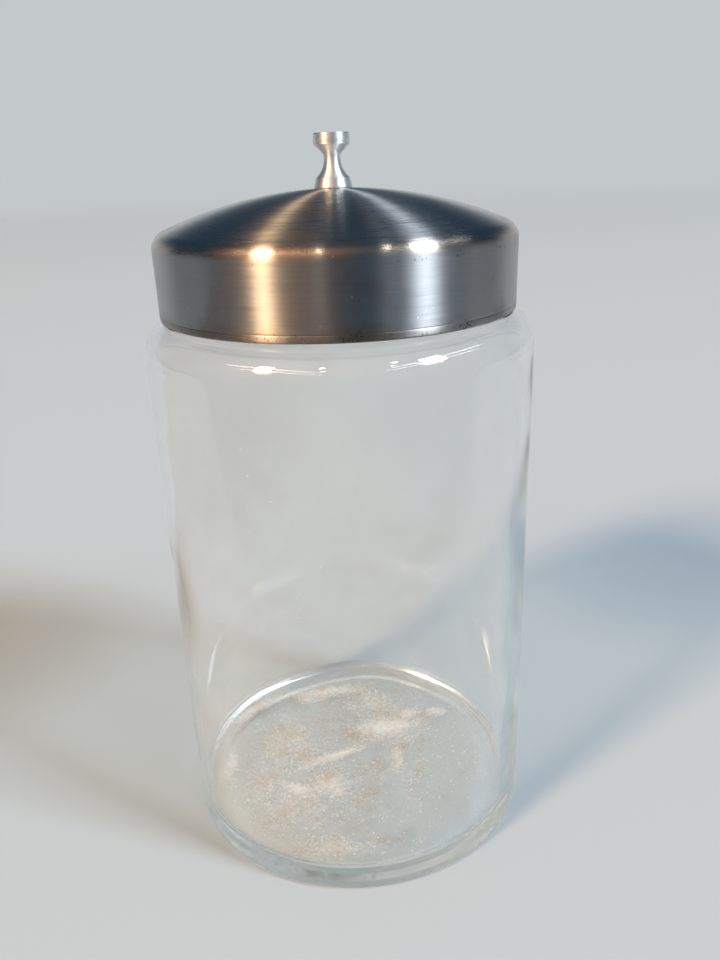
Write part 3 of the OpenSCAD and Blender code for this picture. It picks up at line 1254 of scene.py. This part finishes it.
# Two broad lamps and two small ones. Two thin ones draw the highlights on the shoulder out
# sideways, into points
LAMPS = (
    Lamp("left_lamp", "#FFD8A9", -51, 37, (8, 14), 84),
    Lamp("right_lamp", "#EAF5FF", 63, 39, (12, 13), 56),
    Lamp("left_spot", "#FFF0DC", -13, 47, (3, 3), 50),
    Lamp("right_spot", "#FFF6EC", 39, 49, (3, 3), 40),
    Lamp("left_streak", "#FFDFBB", -45, 40, (52, 2.4), 9, LampFace.OVAL),
    Lamp("right_streak", "#EAF5FF", 67, 41, (64, 2.4), 7, LampFace.OVAL),
)


class Mirrored(Enum):
    """Which mirrored rays a test picks out, as a comparison and the ray depth that it compares with:
    what shiny surfaces mirror directly, or what they mirror after another bounce.

    The surroundings count one step more than a surface does.
    """

    DIRECTLY = ("LESS_THAN", 1.5)
    AGAIN = ("GREATER_THAN", 2.5)

    def share(self, tree: Tree) -> Node:
        """Tests the ray that looks at a material or at the surroundings.

        Args:
            tree: the node tree that asks.

        Returns:
            A node that gives 1 for such a ray, and 0 for every other ray.
        """
        test, depth = self.value
        path = add(tree, "LightPath")
        chosen = add(tree, "Math", {"operation": test, 1: depth}, {0: path.outputs["Ray Depth"]})
        return add(tree, "Math", PRODUCT, {0: path.outputs["Is Glossy Ray"], 1: chosen})


@dataclass
class Studio:
    """A pale floor under soft light, and the camera."""

    camera_back: float = 0.2298
    camera_up: float = 0.1972
    pitch: float = 21.574
    yaw: float = 1.035
    roll: float = -2.159
    lens: float = 30.56
    floor_colour: str = "#B2BFC9"
    horizon_colour: str = "#C3C8CB"
    zenith_colour: str = "#364E62"
    left_colour: str = "#EDB68C"
    right_colour: str = "#76858E"
    lamp_distance: float = 25.0
    aim_height: float = 0.15
    lamps: tuple[Lamp, ...] = LAMPS

    def camera(self) -> None:
        """Sets the camera up: it stands in front, looks down and leans a little."""
        data = bpy.data.cameras.new("camera")
        data.sensor_width = 36
        data.lens = self.lens
        data.clip_start, data.clip_end = 0.01, 100
        item = put("camera", data)
        item.location = (0, -self.camera_back, self.camera_up)
        item.rotation_mode = "XYZ"
        turn = (Matrix.Rotation(math.radians(-self.yaw), 4, "Z")
                @ Matrix.Rotation(math.radians(90 - self.pitch), 4, "X")
                @ Matrix.Rotation(math.radians(self.roll), 4, "Z"))
        item.rotation_euler = turn.to_euler("XYZ")
        bpy.context.scene.camera = item

    def floor(self) -> None:
        """Lays the floor: a wide flat disc that fades out into the backdrop."""
        ground = lathe("floor", np.array([(0.0, -0.0002), (1.0, -0.0002), (6.0, -0.0002)]), segments=64)
        material, tree = blank_material("matt_paper")
        place = add(tree, "TexCoord").outputs["Object"]
        reach = add(tree, "VectorMath", {"operation": "LENGTH"}, {0: place})
        far = add(tree, "MapRange", {**SMOOTH, "From Min": 1.5, "From Max": 5.5},
                  {0: reach.outputs["Value"]})
        # Right in front of the jar, shiny surfaces mirror the backdrop instead
        back = add(tree, "SeparateXYZ", None, {0: place}).outputs[1]
        near = add(tree, "MapRange", {**SMOOTH, "From Min": -0.06, "From Max": -0.18}, {0: back})
        unlit = add(tree, "Math", PRODUCT, {0: near, 1: Mirrored.DIRECTLY.share(tree)})
        gone = add(tree, "Math", LARGER, {0: far, 1: unlit})
        paper = add(tree, "BsdfPrincipled", {
            "Base Color": linear(self.floor_colour), "Roughness": 0.9, "Specular IOR Level": 0.1})
        clear = add(tree, "BsdfTransparent")
        surface = add(tree, "MixShader", None, {0: gone, 1: paper, 2: clear})
        add(tree, "OutputMaterial", None, {"Surface": surface})
        ground.data.materials.append(material)

    def world(self) -> None:
        """Sets the surroundings: a pale backdrop, and a darker room that metal and glass mirror."""
        world = bpy.data.worlds.new("soft_room")
        bpy.context.scene.world = world
        world.use_nodes = True
        tree = world.node_tree
        tree.nodes.clear()
        heading = add(tree, "SeparateXYZ", None, {0: add(tree, "TexCoord").outputs["Generated"]})
        backwards, rise, fall, forwards, side, above = (
            add(tree, "MapRange", {**SMOOTH, "From Min": start, "From Max": end},
                {0: heading.outputs[axis]})
            for axis, start, end in ((1, 0.66, 0.36), (2, 0.2, 0.5), (2, 0.98, 0.75), (1, 0.1, -0.35),
                                     (0, -0.3, 0.3), (2, 0.12, 0.4)))
        # The room: dark, with a band of glow on the camera's side, warm on the left
        band = add(tree, "Math", PRODUCT, {0: rise, 1: fall})
        level = add(tree, "Math", PRODUCT, {0: band, 1: forwards})
        glow = add(tree, "Mix", {
            "data_type": "RGBA", 6: linear(self.left_colour), 7: linear(self.right_colour)}, {0: side})
        room = add(tree, "Mix", {"data_type": "RGBA", 6: linear(self.zenith_colour)},
                   {0: level, 7: glow.outputs[2]})
        # The backdrop: all round for what is looked at straight, through glass or mirrored twice,
        # and only low down behind the jar for every other ray
        path = add(tree, "LightPath")
        straight = add(tree, "Math", LARGER,
                       {0: path.outputs["Is Camera Ray"], 1: path.outputs["Is Transmission Ray"]})
        seen = add(tree, "Math", LARGER, {0: straight, 1: Mirrored.AGAIN.share(tree)})
        shown = add(tree, "Math", {"operation": "MULTIPLY_ADD", 1: -1.0, 2: 1.0}, {0: seen})
        away = add(tree, "Math", LARGER, {0: backwards, 1: above})
        dark = add(tree, "Math", PRODUCT, {0: away, 1: shown})
        sky = add(tree, "Mix", {"data_type": "RGBA", 6: linear(self.horizon_colour)},
                  {0: dark, 7: room.outputs[2]})
        light = add(tree, "Background", {"Strength": 1.0}, {"Color": sky.outputs[2]})
        add(tree, "OutputWorld", None, {"Surface": light})

    def build(self) -> None:
        """Sets up the camera, the floor, the surroundings and the lamps."""
        self.camera()
        self.floor()
        self.world()
        for lamp in self.lamps:
            lamp.hang(self.lamp_distance, self.aim_height)
        scene = bpy.context.scene
        scene.view_settings.view_transform = "Standard"
        scene.cycles.max_bounces = 40
        scene.cycles.glossy_bounces = 40
        scene.cycles.transmission_bounces = 24
        scene.cycles.transparent_max_bounces = 24


def main() -> None:
    """Builds the studio and the canister's sub-assemblies, and reports each piece."""
    logging.basicConfig(level=logging.INFO, format="%(name)s: %(message)s")
    Studio().build()
    for assembly in (Jar(), Lid(), Knob(), Fasteners()):
        for piece in assembly.build():
            LOG.info("%s: %d faces", piece.name, len(piece.data.polygons))


if __name__ == "__main__":
    main()
